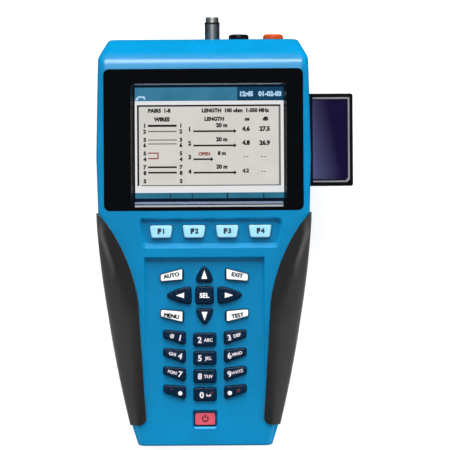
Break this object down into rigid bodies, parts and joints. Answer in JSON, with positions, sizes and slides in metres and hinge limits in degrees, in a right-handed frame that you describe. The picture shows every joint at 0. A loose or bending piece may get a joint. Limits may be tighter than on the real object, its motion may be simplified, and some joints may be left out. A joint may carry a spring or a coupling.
{
  "type": "handheld network cable tester",
  "caption": "Handheld cable tester: tapered blue housing with rubber side grips, framed display, soft keys, arrow and number keys, test sockets on the end and a memory card in the side.",
  "frame": {"origin": "middle of the flat rear face, on which the instrument lies", "axes": "+Z out of the display, +Y towards the connector end, +X towards the memory card slot"},
  "size_m": [0.1188, 0.1991, 0.0452],
  "materials": {
    "housing_blue": "satin gloss moulded plastic",
    "grip_rubber": "satin rubber",
    "bezel_black": "high gloss",
    "window_clear": "clear",
    "lcd_glass": "colour display",
    "mat_rubber": "matte silicone",
    "board_green": "solder resist",
    "black_plastic": "matte moulded",
    "card_plastic": "satin with a printed label",
    "gold_contact": "gold plated",
    "nickel": "nickel plated",
    "white_insulator": "smooth",
    "black_gloss": "gloss",
    "red_plastic": "gloss",
    "brass_sleeve": "turned and plated",
    "cell_wrap": "printed wrap",
    "dark_steel": "black zinc",
    "steel": "zinc plated",
    "ribbon_grey": "flat cable",
    "key_pale": "satin silicone",
    "key_white": "satin silicone",
    "key_black": "satin silicone",
    "key_red": "satin silicone"
  },
  "bodies": {
    "housing": {"front_shell": "housing_blue", "rear_shell": "housing_blue", "battery_cover": "housing_blue", "grip_left": "grip_rubber", "grip_right": "grip_rubber", "display_bezel": "bezel_black", "display_window": "window_clear", "lcd_module": "lcd_glass", "keypad_mat": "mat_rubber", "main_board": "board_green", "io_board": "board_green", "card_socket": "black_plastic", "network_jack": "black_plastic", "jack_contacts": "gold_contact", "coax_barrel": "nickel", "coax_insulator": "white_insulator", "coax_contact": "gold_contact", "coax_nut": "nickel", "socket_black": "black_gloss", "socket_red": "red_plastic", "socket_sleeves": "brass_sleeve", "socket_nuts": "nickel", "battery_cells": "cell_wrap", "battery_contacts": "nickel", "cover_screws": "dark_steel", "case_screws": "dark_steel", "board_screws": "steel", "io_screws": "steel", "buzzer": "black_plastic", "board_ribbon": "ribbon_grey"},
    "card": {"memory_card": "card_plastic"},
    "soft_key_1_body": {"soft_key_1": "key_pale"},
    "soft_key_2_body": {"soft_key_2": "key_pale"},
    "soft_key_3_body": {"soft_key_3": "key_pale"},
    "soft_key_4_body": {"soft_key_4": "key_pale"},
    "nav_up_body": {"nav_up": "key_black"},
    "nav_down_body": {"nav_down": "key_black"},
    "nav_left_body": {"nav_left": "key_black"},
    "nav_right_body": {"nav_right": "key_black"},
    "nav_select_body": {"nav_select": "key_black"},
    "light_key_1_body": {"light_key_1": "key_white"},
    "light_key_2_body": {"light_key_2": "key_white"},
    "light_key_3_body": {"light_key_3": "key_white"},
    "light_key_4_body": {"light_key_4": "key_white"},
    "key_1_body": {"key_1": "key_black"},
    "key_2_body": {"key_2": "key_black"},
    "key_3_body": {"key_3": "key_black"},
    "key_4_body": {"key_4": "key_black"},
    "key_5_body": {"key_5": "key_black"},
    "key_6_body": {"key_6": "key_black"},
    "key_7_body": {"key_7": "key_black"},
    "key_8_body": {"key_8": "key_black"},
    "key_9_body": {"key_9": "key_black"},
    "key_star_body": {"key_star": "key_black"},
    "key_0_body": {"key_0": "key_black"},
    "key_hash_body": {"key_hash": "key_black"},
    "power_key_body": {"power_key": "key_red"}
  },
  "joints": [
    {"name": "card_slide", "type": "slide", "parent": "housing", "child": "card", "axis": [1, 0, 0], "range_m": [-0.0147, 0.0175]},
    {"name": "soft_key_1_press", "type": "slide", "parent": "housing", "child": "soft_key_1_body", "axis": [0, 0, -1], "range_m": [0, 0.0009], "stiffness_N_per_m": 250, "springref_m": -0.0006},
    {"name": "soft_key_2_press", "type": "slide", "parent": "housing", "child": "soft_key_2_body", "axis": [0, 0, -1], "range_m": [0, 0.0009], "stiffness_N_per_m": 250, "springref_m": -0.0006},
    {"name": "soft_key_3_press", "type": "slide", "parent": "housing", "child": "soft_key_3_body", "axis": [0, 0, -1], "range_m": [0, 0.0009], "stiffness_N_per_m": 250, "springref_m": -0.0006},
    {"name": "soft_key_4_press", "type": "slide", "parent": "housing", "child": "soft_key_4_body", "axis": [0, 0, -1], "range_m": [0, 0.0009], "stiffness_N_per_m": 250, "springref_m": -0.0006},
    {"name": "nav_up_press", "type": "slide", "parent": "housing", "child": "nav_up_body", "axis": [0, 0, -1], "range_m": [0, 0.0009], "stiffness_N_per_m": 250, "springref_m": -0.0006},
    {"name": "nav_down_press", "type": "slide", "parent": "housing", "child": "nav_down_body", "axis": [0, 0, -1], "range_m": [0, 0.0009], "stiffness_N_per_m": 250, "springref_m": -0.0006},
    {"name": "nav_left_press", "type": "slide", "parent": "housing", "child": "nav_left_body", "axis": [0, 0, -1], "range_m": [0, 0.0009], "stiffness_N_per_m": 250, "springref_m": -0.0006},
    {"name": "nav_right_press", "type": "slide", "parent": "housing", "child": "nav_right_body", "axis": [0, 0, -1], "range_m": [0, 0.0009], "stiffness_N_per_m": 250, "springref_m": -0.0006},
    {"name": "nav_select_press", "type": "slide", "parent": "housing", "child": "nav_select_body", "axis": [0, 0, -1], "range_m": [0, 0.0009], "stiffness_N_per_m": 250, "springref_m": -0.0006},
    {"name": "light_key_1_press", "type": "slide", "parent": "housing", "child": "light_key_1_body", "axis": [0, 0, -1], "range_m": [0, 0.0009], "stiffness_N_per_m": 250, "springref_m": -0.0006},
    {"name": "light_key_2_press", "type": "slide", "parent": "housing", "child": "light_key_2_body", "axis": [0, 0, -1], "range_m": [0, 0.0009], "stiffness_N_per_m": 250, "springref_m": -0.0006},
    {"name": "light_key_3_press", "type": "slide", "parent": "housing", "child": "light_key_3_body", "axis": [0, 0, -1], "range_m": [0, 0.0009], "stiffness_N_per_m": 250, "springref_m": -0.0006},
    {"name": "light_key_4_press", "type": "slide", "parent": "housing", "child": "light_key_4_body", "axis": [0, 0, -1], "range_m": [0, 0.0009], "stiffness_N_per_m": 250, "springref_m": -0.0006},
    {"name": "key_1_press", "type": "slide", "parent": "housing", "child": "key_1_body", "axis": [0, 0, -1], "range_m": [0, 0.0009], "stiffness_N_per_m": 250, "springref_m": -0.0006},
    {"name": "key_2_press", "type": "slide", "parent": "housing", "child": "key_2_body", "axis": [0, 0, -1], "range_m": [0, 0.0009], "stiffness_N_per_m": 250, "springref_m": -0.0006},
    {"name": "key_3_press", "type": "slide", "parent": "housing", "child": "key_3_body", "axis": [0, 0, -1], "range_m": [0, 0.0009], "stiffness_N_per_m": 250, "springref_m": -0.0006},
    {"name": "key_4_press", "type": "slide", "parent": "housing", "child": "key_4_body", "axis": [0, 0, -1], "range_m": [0, 0.0009], "stiffness_N_per_m": 250, "springref_m": -0.0006},
    {"name": "key_5_press", "type": "slide", "parent": "housing", "child": "key_5_body", "axis": [0, 0, -1], "range_m": [0, 0.0009], "stiffness_N_per_m": 250, "springref_m": -0.0006},
    {"name": "key_6_press", "type": "slide", "parent": "housing", "child": "key_6_body", "axis": [0, 0, -1], "range_m": [0, 0.0009], "stiffness_N_per_m": 250, "springref_m": -0.0006},
    {"name": "key_7_press", "type": "slide", "parent": "housing", "child": "key_7_body", "axis": [0, 0, -1], "range_m": [0, 0.0009], "stiffness_N_per_m": 250, "springref_m": -0.0006},
    {"name": "key_8_press", "type": "slide", "parent": "housing", "child": "key_8_body", "axis": [0, 0, -1], "range_m": [0, 0.0009], "stiffness_N_per_m": 250, "springref_m": -0.0006},
    {"name": "key_9_press", "type": "slide", "parent": "housing", "child": "key_9_body", "axis": [0, 0, -1], "range_m": [0, 0.0009], "stiffness_N_per_m": 250, "springref_m": -0.0006},
    {"name": "key_star_press", "type": "slide", "parent": "housing", "child": "key_star_body", "axis": [0, 0, -1], "range_m": [0, 0.0009], "stiffness_N_per_m": 250, "springref_m": -0.0006},
    {"name": "key_0_press", "type": "slide", "parent": "housing", "child": "key_0_body", "axis": [0, 0, -1], "range_m": [0, 0.0009], "stiffness_N_per_m": 250, "springref_m": -0.0006},
    {"name": "key_hash_press", "type": "slide", "parent": "housing", "child": "key_hash_body", "axis": [0, 0, -1], "range_m": [0, 0.0009], "stiffness_N_per_m": 250, "springref_m": -0.0006},
    {"name": "power_key_press", "type": "slide", "parent": "housing", "child": "power_key_body", "axis": [0, 0, -1], "range_m": [0, 0.0009], "stiffness_N_per_m": 250, "springref_m": -0.0006}
  ]
}
